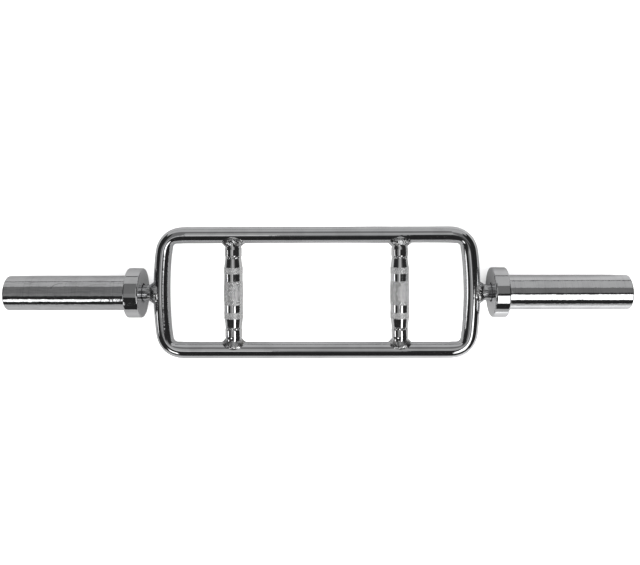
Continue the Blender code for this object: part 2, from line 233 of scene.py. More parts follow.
# Frame loop
# One round steel bar of 24 mm, bent into a closed loop with slightly bowed sides,
# butt welded, ground flush and chrome plated. The grips and the necks are welded to it.
inside_box = 0.00002
bar_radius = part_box("frame_loop")[1].z - inside_box
rail_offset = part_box("frame_loop")[1].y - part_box("frame_loop")[1].z
side_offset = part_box("frame_loop")[1].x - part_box("frame_loop")[1].z
side_bow_radius = 0.555
corner_radius = 0.0265
inner_bend_radius = 0.0065
bow_centre = side_offset - side_bow_radius
corner_height = rail_offset - corner_radius
corner_reach = np.sqrt((side_bow_radius - corner_radius) ** 2 - corner_height ** 2)
corner_place = (bow_centre + corner_reach, corner_height)
touch = np.arctan2(corner_height, corner_reach)
loop_columns = 56
loop_rows = 640
easing_rounds = 14
wave_size, peel_share, peel_grain = 0.012, 0.3, 260.0
haze_grain, chip_grain = 35.0, 420.0
plate_wave = 0.00006
mirror_roughness = 0.035
corner_wear = 0.4
haze_greying, haze_roughness, wear_roughness = 0.35, 0.02, 0.22
chrome_bright, chrome_worn = (0.79, 0.795, 0.805), (0.6, 0.6, 0.61)
scratch_lines = [((2600.0, 46.0, 46.0), 0.22), ((52.0, 2300.0, 52.0), 0.4), ((60.0, 60.0, 2400.0), -0.3)]


def arc(centre, radius, start, end, rows=90):
    """Points on a circle at even angles from start up to, but not on, end."""
    angle = np.linspace(start, end, rows, endpoint=False)[:, None]
    return np.array(centre) + radius * np.hstack([np.cos(angle), np.sin(angle)])


def even_steps(path, rows):
    """The same closed path at even distances along it."""
    whole = np.vstack([path, path[:1]])
    gone = np.concatenate([[0.0], np.cumsum(np.linalg.norm(np.diff(whole, axis=0), axis=1))])
    wanted = np.linspace(0, gone[-1], rows, endpoint=False)
    return np.stack([np.interp(wanted, gone, whole[:, i]) for i in range(2)], axis=1)


def loop_path():
    """Centre line, anticlockwise from the middle of the right side.

    The side is a wide arc, the corner a small arc that touches it from the inside and
    ends level with the rail, and the rail is straight. The quarter is mirrored twice.
    Then each point moves halfway to the mean of its neighbours, several times, which
    eases the bends into the straights as a bender does.
    """
    side = arc((bow_centre, 0.0), side_bow_radius, 0.0, touch)
    corner = arc(corner_place, corner_radius, touch, np.pi / 2)
    quarter = np.vstack([side, corner, [(corner_place[0], rail_offset)]])
    half = np.vstack([quarter, quarter[::-1] * (-1, 1)])
    path = even_steps(np.vstack([half, half[-2:0:-1] * (1, -1)]), loop_rows)
    for _ in range(easing_rounds):
        path = 0.5 * path + 0.25 * (np.roll(path, 1, axis=0) + np.roll(path, -1, axis=0))
    return np.hstack([path, np.zeros((loop_rows, 1))])


def direction(path):
    """Unit tangent at each point of a closed path, from the points on either side."""
    ahead = np.roll(path, -1, axis=0) - np.roll(path, 1, axis=0)
    return ahead / np.linalg.norm(ahead, axis=1, keepdims=True)


def bend_squeeze(path):
    """How far the bender's former has pressed the inside of each bend outwards.

    Seen from the bend's centre, the inner face follows the two straights to where a
    tighter arc touches them, and then that arc. The squeeze is that face's distance
    less the round bar's own.
    """
    half = (np.pi / 2 - touch) / 2
    away = np.abs(path[:, :2]) - corner_place
    turn = np.abs(np.arctan2(away[:, 1], away[:, 0]) - touch - half)
    inner = corner_radius - bar_radius
    gap = inner - inner_bend_radius
    reach = gap / np.cos(half)
    tight = reach * np.cos(turn)
    tight += np.sqrt(np.maximum(inner_bend_radius ** 2 - (reach * np.sin(turn)) ** 2, 0))
    straight = inner / np.cos(half - turn)
    touches = half - np.arctan(gap * np.tan(half) / inner)
    return np.where(turn < half, np.where(turn < touches, tight, straight) - inner, 0.0)


def round_bar(path, radius, columns, squeeze):
    """A circle carried along a flat closed path: out of the bend and up, by cosine and sine.
    Its inner half is drawn in by the squeeze, to half an ellipse."""
    up = np.array([0.0, 0.0, 1.0])
    out = np.cross(direction(path), up)
    angle = np.linspace(0, 2 * np.pi, columns, endpoint=False)[None, :, None]
    across = radius * np.cos(angle) - squeeze[:, None, None] * np.minimum(np.cos(angle), 0)
    return path[:, None] + across * out[:, None] + radius * np.sin(angle) * up


def skin(name, points, closed, sharp_above=35.0, crest=None):
    """A mesh over a grid of points, rows along the piece and columns round it.

    Columns always close round. Rows close too on a ring, or else both ends narrow to
    a point. Its map runs round the piece in U and along it in V, both in metres.
    """
    rows, columns = points.shape[:2]
    corner = np.arange(rows * columns).reshape(rows, columns)
    right, ahead = np.roll(corner, -1, axis=1), np.roll(corner, -1, axis=0)
    quads = np.stack([corner, right, np.roll(right, -1, axis=0), ahead], axis=-1)
    round_steps = np.linalg.norm(np.roll(points, -1, axis=1) - points, axis=-1).sum(axis=1).max() / columns
    row_steps = np.linalg.norm(np.roll(points, -1, axis=0) - points, axis=-1).mean(axis=1)
    u = np.arange(columns) * round_steps
    v = np.concatenate([[0.0], np.cumsum(row_steps)])
    low_u, low_v = np.meshgrid(u, v[:-1])
    high_v = np.broadcast_to(v[1:, None], low_u.shape)
    high_u = low_u + round_steps
    spots = np.stack([low_u, low_v, high_u, low_v, high_u, high_v, low_u, high_v], axis=-1)
    if not closed:
        quads, spots = quads[:-1], spots[:-1]
    mesh = bpy.data.meshes.new(name)
    mesh.from_pydata(points.reshape(-1, 3).tolist(), [], quads.reshape(-1, 4).tolist())
    mesh.uv_layers.new(name="UVMap").data.foreach_set("uv", spots.ravel())
    if crest is not None:
        mesh.attributes.new("crest", "FLOAT", "POINT").data.foreach_set("value", crest.ravel())
    work = bmesh.new()
    work.from_mesh(mesh)
    bmesh.ops.remove_doubles(work, verts=work.verts, dist=1e-7)
    bmesh.ops.recalc_face_normals(work, faces=work.faces)
    work.to_mesh(mesh)
    work.free()
    mesh.shade_smooth()
    mesh.set_sharp_from_angle(angle=np.radians(sharp_above))
    return mesh


def place_piece(name, mesh, material, slot, body, *nodes):
    """Puts a finished piece in the scene in place of its CAD nodes, on the body it moves with."""
    piece = bpy.data.objects.new(name, mesh)
    mesh.materials.append(material)
    bpy.context.scene.collection.objects.link(piece)
    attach(piece, body)
    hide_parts(*nodes)


def new_group(name, inputs, outputs):
    """A shader group with float or vector sockets, returned with its two end nodes."""
    group = bpy.data.node_groups.new(name, "ShaderNodeTree")
    for key, value in inputs.items():
        kind = "NodeSocketVector" if value is None else "NodeSocketFloat"
        socket = group.interface.new_socket(key, in_out="INPUT", socket_type=kind)
        if value is not None:
            socket.default_value = value
    for key in outputs:
        group.interface.new_socket(key, in_out="OUTPUT", socket_type="NodeSocketFloat")
    return group, group.nodes.new("NodeGroupInput").outputs, group.nodes.new("NodeGroupOutput").inputs


def object_place(tree):
    """The point on the piece, in metres from the bar's middle."""
    return add_node(tree, "ShaderNodeTexCoord").outputs["Object"]


def noise(tree, place, scale, detail):
    """Smooth noise over a place, from 0 to 1."""
    return add_node(tree, "ShaderNodeTexNoise", Vector=place, Scale=scale, Detail=detail).outputs["Fac"]


def stretched(tree, place, scale, turn=0.0):
    """A place scaled along each axis, and turned, so that a pattern on it is drawn out."""
    return add_node(
        tree, "ShaderNodeMapping", Vector=place, Rotation=(turn, turn, turn), Scale=scale).outputs[0]


def polish_group():
    """The state of a polished surface: the slow wave and fine peel of its plate, and
    the hairline scratches that handling leaves, some lengthwise and some across."""
    inputs = {"Place": None, "Wave size": wave_size, "Peel": peel_share, "Scratches": 0.3}
    group, given, put = new_group("polish", inputs, ["Height", "Scratch", "Haze"])
    place = given["Place"]
    waves = noise(group, place, calc(group, "DIVIDE", 1.0, given["Wave size"]), 2.0)
    height = calc(group, "MULTIPLY_ADD", noise(group, place, peel_grain, 2.0), given["Peel"], waves)
    lines = [
        fade(group, noise(group, stretched(group, place, scale, turn), 1.0, 1.0), 0.7, 0.82)
        for scale, turn in scratch_lines]
    haze = fade(group, noise(group, place, haze_grain, 3.0), 0.42, 0.68)
    scratch = chain(group, "MULTIPLY", chain(group, "MAXIMUM", *lines), given["Scratches"], haze)
    for key, value in (("Height", height), ("Scratch", scratch), ("Haze", haze)):
        group.links.new(value, put[key])
    return group


def edge_group():
    """Rub along outer corners: where the mesh is pointed, broken up by noise."""
    group, given, put = new_group("corner_rub", {"Place": None, "Amount": 0.5}, ["Rub"])
    curve = add_node(group, "ShaderNodeNewGeometry").outputs["Pointiness"]
    chips = noise(group, given["Place"], chip_grain, 3.0)
    rub = chain(
        group, "MULTIPLY", fade(group, curve, 0.505, 0.56), given["Amount"], fade(group, chips, 0.35, 0.6))
    group.links.new(rub, put["Rub"])
    return group


polish = polish_group()
corner_rub = edge_group()


def use_group(tree, group, **inputs):
    """Places a shader group in a material with its own values."""
    return add_node(tree, "ShaderNodeGroup", {"node_tree": group}, **inputs).outputs


def metal(tree, color, roughness, height, depth, metallic=1.0):
    """A Principled metal with its colour, roughness and bump, on the material's output."""
    bump = add_node(tree, "ShaderNodeBump", Strength=1.0, Distance=depth, Height=height)
    shader = add_node(
        tree, "ShaderNodeBsdfPrincipled", Base_Color=color, Metallic=metallic, Roughness=roughness,
        Normal=bump.outputs[0])
    add_node(tree, "ShaderNodeOutputMaterial", Surface=shader.outputs[0])


def shade(tree, factor, low, high):
    """A colour between two, by a factor."""
    node = add_node(tree, "ShaderNodeMix", {"data_type": "RGBA"}, at0=factor, at6=(*low, 1), at7=(*high, 1))
    return node.outputs[2]


def chrome_material(name, scratches):
    """Bright chrome: nearly a mirror, with a slow ripple, hairlines and a faint haze of wear."""
    material, tree = new_material(name)
    place = object_place(tree)
    worn = use_group(tree, polish, Place=place, Scratches=scratches)
    rub = use_group(tree, corner_rub, Place=place, Amount=corner_wear)["Rub"]
    dull = calc(tree, "MAXIMUM", worn["Scratch"], rub)
    grey = calc(tree, "MULTIPLY_ADD", worn["Haze"], haze_greying, dull)
    spread = calc(tree, "MULTIPLY_ADD", dull, wear_roughness, mirror_roughness)
    spread = calc(tree, "MULTIPLY_ADD", worn["Haze"], haze_roughness, spread)
    color = shade(tree, grey, chrome_bright, chrome_worn)
    metal(tree, color, spread, worn["Height"], plate_wave)
    return material


loop_chrome = chrome_material("loop_chrome", scratches=0.5)
loop_line = loop_path()
loop_points = round_bar(loop_line, bar_radius, loop_columns, bend_squeeze(loop_line))
mesh = skin("bent_loop", loop_points, closed=True)
place_piece("bent_loop", mesh, loop_chrome, "chrome", "frame", "frame_loop")


# Grips
# Turned steel bars, knurled in the middle and in two short bands under the ends of the
# palm, coped to the rails, welded on and plated. A rough ring marks each waist.
grip_middle = (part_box("grip_right")[0].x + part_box("grip_right")[1].x) / 2
knurl_radius = 0.0141
knurl_crown = 0.0004
knurl_half = 0.017
band_edge = 0.0003
palm_radius = 0.0134
short_knurl = (0.0283, 0.037)
short_knurl_radius = 0.0137
short_knurl_fall = 0.0004
short_knurl_share = 0.75
shoulder = (0.0436, 0.0124)
waist_radius = 0.0117
ring = (0.05, 0.0533)
ring_radius = 0.012
ring_studs = 16
ring_depth = 0.0008
barrel_radius = 0.0117
barrel_start = 0.0657
barrel_swell, swell_end = 0.0122, 0.0637
knurl_depth = 0.00042
knurl_seed = 3
crest_width = 2.2
lowest_crest = 0.4
crest_lean = 0.12
diamonds_round = 30
diamond_length = 0.0038
samples_per_diamond = 8
cope_gap = 0.0003
cope_rows = 5
plain_step = 0.0009
# The dark knurl colour is painted shade in the grooves and low crests, and also the grey of the random
# patches and the short bands.
crest_bright, groove_shade_and_patch_dark = (0.97, 0.972, 0.975), (0.22, 0.22, 0.22)
patch_grain, patch_greying, band_greying = 700.0, 0.4, 0.4
knurl_roughness, knurl_dulling = 0.07, 0.26
palm_wear = 0.15


def triangle_wave(turns):
    """Rises from 0 to 1 and falls back once a turn."""
    return 1 - np.abs(2 * (turns % 1.0) - 1)


def diamond(turns_round, turns_along):
    """Height of a diamond knurl, 0 in the grooves and near 1 on a full crest: the lower of
    two triangle waves that cross, one leaning each way. Each crest has its own height and
    its own lean, because a rolled knurl fills its diamonds unevenly."""
    right, left = turns_round + turns_along, turns_round - turns_along
    rng = np.random.default_rng(knurl_seed)
    heights = rng.uniform(lowest_crest, 1.0, (diamonds_round, diamonds_round))
    leans = rng.uniform(-crest_lean, crest_lean, (2, diamonds_round, diamonds_round))
    cell = np.floor(right).astype(int) % diamonds_round, np.floor(left).astype(int) % diamonds_round
    tilt = leans[0][cell] * (right % 1.0 - 0.5) + leans[1][cell] * (left % 1.0 - 0.5)
    full = np.minimum(crest_width * np.minimum(triangle_wave(right), triangle_wave(left)), 1.0)
    return full * (heights[cell] * (1 - crest_lean) + tilt + crest_lean / 2)


def stretches(places, steps):
    """Stations from place to place, each stretch in even steps no longer than its own."""
    parts = [np.linspace(a, b, max(2, int(np.ceil((b - a) / step))), endpoint=False)
             for a, b, step in zip(places[:-1], places[1:], steps)]
    return np.concatenate(parts + [[places[-1]]])


def grip_half():
    """Stations from the middle to the barrel, the blank's radius there, the share of a
    full knurl, and whether the station is on the ring. Each turn of the profile has its
    place, its radius and the longest step from it to the next."""
    fine = diamond_length / samples_per_diamond
    profile = [
        (0.0, knurl_radius, fine),
        (knurl_half, knurl_radius - knurl_crown, band_edge / 2),
        (knurl_half + band_edge, palm_radius, plain_step),
        (short_knurl[0] - band_edge, palm_radius, band_edge / 2),
        (short_knurl[0], short_knurl_radius, fine),
        (short_knurl[1], short_knurl_radius, band_edge / 2),
        (short_knurl[1] + band_edge, short_knurl_radius - short_knurl_fall, plain_step),
        (shoulder[0], shoulder[1], plain_step),
        (ring[0] - band_edge, waist_radius, band_edge / 2),
        (ring[0], ring_radius, fine),
        (ring[1], ring_radius, band_edge / 2),
        (ring[1] + band_edge, barrel_swell, plain_step),
        (swell_end, barrel_swell, plain_step / 2),
        (barrel_start, barrel_radius, 0.0)]
    places, radii, steps = zip(*profile)
    along = stretches(places, steps)
    radius = np.interp(along, places, radii)
    crowned = along <= knurl_half
    radius[crowned] = knurl_radius - knurl_crown * (along[crowned] / knurl_half) ** 2
    share = np.where(crowned, 1.0, 0.0)
    share += short_knurl_share * ((along >= short_knurl[0]) & (along <= short_knurl[1]))
    on_ring = ((along >= ring[0]) & (along <= ring[1])) * 1.0
    return along, radius, share, on_ring


def grip_points(centre_x):
    """A turned bar along Y, knurled by pushing its grooves in, with both ends cut to the
    rail's curve: the rail's offset less the root of its radius squared less Z squared."""
    columns = diamonds_round * samples_per_diamond
    angle = np.linspace(0, 2 * np.pi, columns, endpoint=False)[None]
    along, radius, share, on_ring = (column[:, None] for column in grip_half())
    turns = angle / (2 * np.pi)
    crest = diamond(diamonds_round * turns, along / diamond_length)
    studs = triangle_wave(ring_studs * turns) * triangle_wave((along - ring[0]) / (ring[1] - ring[0]))
    r = radius - knurl_depth * share * (1 - crest) - ring_depth * on_ring * (1 - studs)
    y = np.broadcast_to(along, r.shape)
    worked = np.broadcast_to(share * crest + (1 - share), r.shape)
    to_rail = np.linspace(0, 1, cope_rows + 1)[1:, None]
    to_axis = np.linspace(1, 0, cope_rows + 1)[1:, None] * np.ones_like(angle)

    def cope(shrink):
        """How far out the rail's face is, over a circle of this share of the barrel's radius."""
        side = barrel_radius * shrink * np.sin(angle)
        return rail_offset - np.sqrt((bar_radius + cope_gap) ** 2 - side ** 2)

    r = np.vstack([r, np.full((cope_rows, columns), barrel_radius), barrel_radius * to_axis])
    y = np.vstack([y, barrel_start + (cope(1.0) - barrel_start) * to_rail, cope(to_axis)])
    worked = np.vstack([worked, np.ones((2 * cope_rows, columns))])
    r, y, worked = (np.vstack([a[:0:-1], b]) for a, b in ((r, r), (-y, y), (worked, worked)))
    points = np.stack([centre_x + r * np.cos(angle), y, r * np.sin(angle)], axis=-1)
    return points, worked


def grip_material():
    """Mirror chrome on the palms, and knurl crests that hands have dulled over grooves darkened with painted
    shade.
    """
    material, tree = new_material("grip_chrome")
    place = object_place(tree)
    worn = use_group(tree, polish, Place=place, Scratches=0.4)
    y = add_node(tree, "ShaderNodeSeparateXYZ", Vector=place).outputs["Y"]
    along = calc(tree, "ABSOLUTE", y)
    middle = calc(tree, "LESS_THAN", along, knurl_half)
    band = calc(
        tree, "MULTIPLY", calc(tree, "GREATER_THAN", along, short_knurl[0]),
        calc(tree, "LESS_THAN", along, short_knurl[1]))
    rough = calc(tree, "MAXIMUM", middle, band)
    crest = add_node(tree, "ShaderNodeAttribute", {"attribute_name": "crest"}).outputs["Fac"]
    # Painted shade: the knurl's grooves and lower crests are coloured darker by their depth, read from the
    # crest attribute.
    groove = calc(tree, "MULTIPLY", rough, fade(tree, crest, 0.95, 0.15))
    patches = fade(tree, noise(tree, place, patch_grain, 2.0), 0.4, 0.62)
    uneven = chain(tree, "MULTIPLY", rough, patches, patch_greying)
    uneven = calc(tree, "MULTIPLY_ADD", band, band_greying, uneven)
    color = shade(tree, calc(tree, "MAXIMUM", groove, uneven), crest_bright, groove_shade_and_patch_dark)
    spread = calc(tree, "MULTIPLY_ADD", rough, knurl_roughness, mirror_roughness)
    spread = calc(tree, "MULTIPLY_ADD", worn["Scratch"], palm_wear, spread)
    plated = calc(tree, "MULTIPLY_ADD", rough, -knurl_dulling, 1.0)
    metal(tree, color, spread, worn["Height"], plate_wave, metallic=plated)
    return material


grip_chrome = grip_material()
for side, way in (("left", -1), ("right", 1)):
    points, crest = grip_points(way * grip_middle)
    mesh = skin(side + "_grip_bar", points, closed=False, crest=crest)
    place_piece(side + "_grip_bar", mesh, grip_chrome, "knurled_chrome", "frame", "grip_" + side)


# Weld beads
# Fillets laid by hand where a grip meets a rail and where a neck meets the loop's side,
# in a row of overlapping ripples, then plated over with the bar.
bead_rows, ripple_rows = 46, 6
side_leg = 0.0008
run_dome = 0.0024
grip_toe, neck_toe = 0.0176, 0.018
grip_leg, neck_leg = 0.006, 0.0044
toe_sag = 0.0024
bead_rise = (0.0004, 0.0016)
bead_columns = 12
ripple_depth = 0.00045
ripple_bow = 0.9
ripple_hollow = 0.7
weakest_ripple, strongest_ripple = 0.6, 1.3
step_wander, rise_wander, toe_wander = 0.05, 0.1, 0.03
lightest_wave = 0.4
seam_pull = 0.6
bead_sink = 0.0007
bead_bright, bead_stained = (0.76, 0.765, 0.77), (0.4, 0.39, 0.38)
pit_grain, pit_depth, stain_grain = 900.0, 0.00012, 160.0
bead_roughness, stain_roughness = 0.06, 0.2


def wander(rng, turns, size):
    """A hand's unevenness once round a seam: three slow waves of random phase and weight."""
    waves = np.arange(2, 5)
    phase, weight = rng.uniform(0, 2 * np.pi, 3), rng.uniform(lightest_wave, 1.0, 3)
    return 1 + size * (weight * np.sin(2 * np.pi * turns[:, None] * waves + phase)).sum(axis=1)


def unit(vectors):
    """Vectors brought to length one."""
    return vectors / np.linalg.norm(vectors, axis=-1, keepdims=True)


def bead_points(seed, toe_height, crown_leg):
    """A fillet on the seam of a run along X and a slightly thinner branch along Z.

    The seam is where the two round surfaces cross, its height the root of the run's
    radius squared less Y squared. From it one toe steps out along the run, and the other
    lies round the branch at one height that sags a little between the crowns. Between
    the toes the face is a shallow curve, lifted by ripples whose crests bow forward, and
    behind it the bead dips a little into the metal.
    """
    rng = np.random.default_rng(seed)
    turns = (np.arange(bead_rows * ripple_rows) + 0.5) / (bead_rows * ripple_rows)
    angle = 2 * np.pi * turns
    cos, sin = np.cos(angle), np.sin(angle)
    crossing = np.sqrt(bar_radius ** 2 - (barrel_radius * sin) ** 2)
    seam = np.stack([barrel_radius * cos, barrel_radius * sin, crossing], axis=1)
    ahead = unit(np.roll(seam, -1, axis=0) - np.roll(seam, 1, axis=0))
    run_out = unit(seam * (0, 1, 1))
    branch_out = unit(seam * (1, 1, 0))
    along_run = np.cross(run_out, ahead)
    towards = np.stack([cos, 0 * cos, -0.5 + 0 * cos], axis=1)
    along_run *= np.sign((along_run * towards).sum(axis=1, keepdims=True))
    crown = (cos ** 2)[:, None]
    uneven = wander(rng, turns, step_wander)[:, None]
    dome = run_dome * (2 * sin * cos)[:, None] ** 2
    run_step = (side_leg + (crown_leg - side_leg) * crown + dome) * uneven
    rise = bead_rise[1] + (bead_rise[0] - bead_rise[1]) * crown
    rise = rise * wander(rng, turns, rise_wander)[:, None]
    run_toe = seam + run_step * along_run
    run_toe[:, 1:] *= (bar_radius - bead_sink / 2) / np.linalg.norm(run_toe[:, 1:], axis=1, keepdims=True)
    toe_radius = barrel_radius - bead_sink / 2
    toe = toe_height * wander(rng, turns, toe_wander) - toe_sag * sin ** 2
    branch_toe = np.stack([toe_radius * cos, toe_radius * sin, toe], axis=1)
    out = unit(run_out + branch_out)
    t = np.linspace(0, 1, bead_columns)[None, :, None]
    pull = seam_pull * seam + (1 - seam_pull) / 2 * (run_toe + branch_toe)
    face = (1 - t) ** 2 * run_toe[:, None] + 2 * t * (1 - t) * pull[:, None] + t ** 2 * branch_toe[:, None]
    beat = turns[:, None] * bead_rows + ripple_bow * np.sin(np.pi * t[..., 0]) + rng.uniform()
    ripple = (beat % 1.0) ** ripple_hollow
    strength = rng.uniform(weakest_ripple, strongest_ripple, bead_rows)[beat.astype(int) % bead_rows]
    lift = np.sin(np.pi * t[..., 0]) * (rise + ripple_depth * ripple * strength)
    face = face + lift[..., None] * out[:, None]
    chord = 0.5 * (run_toe + branch_toe)
    back = chord - out * (np.linalg.norm(seam - chord, axis=1, keepdims=True) + bead_sink)
    return np.concatenate([face, back[:, None]], axis=1)


def turn_to(points, origin, run, branch):
    """Sets X on the run and Z on the branch, with Y square to both, and moves to the origin."""
    run, branch = np.array(run, float), np.array(branch, float)
    axes = np.stack([run, np.cross(branch, run), branch])
    return points @ axes + np.array(origin)


def bead_material():
    """Plate over rough ripples: bright, dull and stained in random patches."""
    material, tree = new_material("bead_chrome")
    place = object_place(tree)
    pits = noise(tree, place, pit_grain, 2.0)
    stain = fade(tree, noise(tree, place, stain_grain, 3.0), 0.5, 0.72)
    color = shade(tree, stain, bead_bright, bead_stained)
    spread = calc(tree, "MULTIPLY_ADD", stain, stain_roughness, bead_roughness)
    metal(tree, color, spread, pits, pit_depth)
    return material


bead_chrome = bead_material()
seams = {}
for side, way in (("left", -1), ("right", 1)):
    for rail, rail_way in (("top", 1), ("bottom", -1)):
        origin = (way * grip_middle, rail_way * rail_offset, 0)
        node = f"grip_weld_{side}_{rail}"
        seams[f"{side}_{rail}_grip_bead"] = (origin, (1, 0, 0), (0, -rail_way, 0), grip_toe, grip_leg, node)
    origin = (way * side_offset, 0, 0)
    seams[side + "_neck_bead"] = (origin, (0, 1, 0), (way, 0, 0), neck_toe, neck_leg, "neck_weld_" + side)
for seed, (name, (origin, run, branch, toe, leg, node)) in enumerate(seams.items()):
    points = turn_to(bead_points(seed, toe, leg), origin, run, branch)
    mesh = skin(name, points, closed=True, sharp_above=60.0)
    place_piece(name, mesh, bead_chrome, "plated_weld", "frame", node)


# Spindles
# Steel shafts coped and welded to the loop's sides, necks plated and dulled by the weld's
# heat. The thinner journal inside the sleeve is drilled and tapped for the end screw.
journal_radius = 0.01
spindle_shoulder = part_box("inner_thrust_washer_right")[0].x - cope_gap
spindle_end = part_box("spindle_right")[1].x
spindle_edges = [0, 0.0001, 0.0003, 0.0009, 0.0003, 0.0004, 0.0001, 0, 0]
drill_radius = 0.0053
drill_spare = 0.002
drill_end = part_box("end_screw_right")[0].x - drill_spare
neck_start = side_offset + 0.02
cope_limit = side_offset + 0.01
turned_columns = 96
neck_bright, neck_scale = (0.72, 0.725, 0.735), (0.2, 0.2, 0.205)
streak_grain, streak_depth = (110.0, 620.0, 620.0), 0.0003
neck_roughness, streak_roughness = 0.08, 0.2


def round_corners(corners, radii, closed, steps=5, hold=0.0002):
    """A half section with each corner turned into a quadratic curve that starts and ends
    its radius away from it. A point just outside each curve keeps the flats' shading true."""
    corners, radii = np.array(corners, float), np.array(radii, float)[:, None]
    before = unit(np.roll(corners, 1, axis=0) - corners)
    after = unit(np.roll(corners, -1, axis=0) - corners)
    enter, leave = corners + before * radii, corners + after * radii
    t = np.linspace(0, 1, steps)[None, :, None]
    bend = (1 - t) ** 2 * enter[:, None] + 2 * t * (1 - t) * corners[:, None] + t ** 2 * leave[:, None]
    rows = np.concatenate([(enter + hold * before)[:, None], bend, (leave + hold * after)[:, None]], axis=1)
    if not closed:
        rows[0] = corners[0]
        rows[-1] = corners[-1]
    return rows.reshape(-1, 2)


def turned_points(section, way, columns=turned_columns):
    """A half section of radius and distance from the bar's middle, turned round the X axis."""
    angle = np.linspace(0, 2 * np.pi, columns, endpoint=False)[None]
    radius, distance = section[:, :1], section[:, 1:]
    x = np.broadcast_to(way * distance, (len(section), columns))
    return np.stack([x, radius * np.cos(angle), radius * np.sin(angle)], axis=-1)


def spindle_points(way):
    """The turned shaft, with its inner end cut to the side's curve as the grips' ends are."""
    section = round_corners(
        [(0.0, drill_end), (drill_radius, drill_end), (drill_radius, spindle_end),
         (journal_radius, spindle_end), (journal_radius, spindle_shoulder),
         (barrel_radius, spindle_shoulder), (barrel_radius, neck_start), (barrel_radius, side_offset),
         (0.0, side_offset)], spindle_edges, closed=False)
    points = turned_points(section, way)
    low = section[:, 1] < cope_limit
    cope = np.sqrt((bar_radius + cope_gap) ** 2 - points[low, :, 2] ** 2)
    points[low, :, 0] = way * (side_offset + cope)
    return points


def neck_material():
    """Plate over steel that the weld's heat has scaled: dull, with dark streaks along it."""
    material, tree = new_material("neck_chrome")
    lines = noise(tree, stretched(tree, object_place(tree), streak_grain), 1.0, 3.0)
    streaks = fade(tree, lines, 0.4, 0.62)
    color = shade(tree, streaks, neck_bright, neck_scale)
    spread = calc(tree, "MULTIPLY_ADD", streaks, streak_roughness, neck_roughness)
    metal(tree, color, spread, lines, streak_depth)
    return material


neck_chrome = neck_material()
for side, way in (("left", -1), ("right", 1)):
    mesh = skin(side + "_spindle_shaft", spindle_points(way), closed=False)
    place_piece(side + "_spindle_shaft", mesh, neck_chrome, "chrome", "frame", "spindle_" + side)


# Collars
# Thick steel discs that stop the plates, turned with soft corners, bored for the neck
# with a running gap, recessed for the tube's end, welded to it from inside and plated.
collar_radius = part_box("collar_right")[1].z - inside_box
collar_start, collar_end = (corner.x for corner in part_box("collar_right"))
collar_web = 0.0115
collar_floor = collar_start + collar_web
collar_bore = 0.0138
collar_edges = [0.0003, 0.0024, 0.0026, 0.0006, 0.0002, 0.0002]
tube_radius = 0.025
fit_gap = 0.0003
recess_radius = tube_radius + fit_gap
collar_columns = 160
collar_chrome = chrome_material("collar_chrome", scratches=0.7)
collar_section = round_corners(
    [(recess_radius, collar_end), (collar_radius, collar_end), (collar_radius, collar_start),
     (collar_bore, collar_start), (collar_bore, collar_floor), (recess_radius, collar_floor)],
    collar_edges, closed=True, steps=11)
for side, way in (("left", -1), ("right", 1)):
    mesh = skin(side + "_collar_disc", turned_points(collar_section, way, collar_columns), closed=True)
    place_piece(side + "_collar_disc", mesh, collar_chrome, "chrome", side + "_sleeve", "collar_" + side)


# Sleeve tubes
# Thick-walled 50 mm tubes that the plates slide on, polished, plated and let into the
# collars. Plates leave faint rings, and handling leaves a few marks.
tube_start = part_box("sleeve_tube_right")[0].x
tube_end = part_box("sleeve_tube_right")[1].x - inside_box
tube_inside = 0.02
tube_edges = [0.0006, 0.0019, 0.0003, 0.0003]
tube_columns = 192
tube_section = round_corners(
    [(tube_inside, tube_end), (tube_radius, tube_end), (tube_radius, tube_start), (tube_inside, tube_start)],
    tube_edges, closed=True, steps=9)
tube_wave = 0.0002
tube_bright, tube_worn = (0.8, 0.805, 0.815), (0.5, 0.5, 0.51)
plate_ring_grain, plate_ring_wear = (700.0, 9.0, 9.0), 0.3
drawn_grain = (45.0, 520.0, 520.0)
drawn_left, drawn_right = 0.35, 0.12
tube_greying, tube_roughness = 0.25, 0.2
mark_centre = (-0.3643, 0.0093)
mark_long, mark_high = 0.0152, 0.0071
mark_width = 0.0009


def tube_mark(tree, x, y, z):
    """A quarter of a flattened ring on top of the left tube: how near the point's distance
    from the centre, with X squashed, comes to the ring's height."""
    squash = mark_high / mark_long
    flat = add_node(tree, "ShaderNodeCombineXYZ", X=calc(tree, "MULTIPLY", x, squash), Y=y).outputs[0]
    centre = (mark_centre[0] * squash, mark_centre[1], 0.0)
    far = add_node(tree, "ShaderNodeVectorMath", {"operation": "DISTANCE"}, at0=flat, at1=centre)
    off = calc(tree, "ABSOLUTE", calc(tree, "SUBTRACT", far.outputs["Value"], mark_high))
    quarter = calc(
        tree, "MULTIPLY", calc(tree, "LESS_THAN", x, mark_centre[0]),
        calc(tree, "GREATER_THAN", y, mark_centre[1]))
    return chain(
        tree, "MULTIPLY", fade(tree, off, mark_width, 0.0), calc(tree, "GREATER_THAN", z, 0.0), quarter)


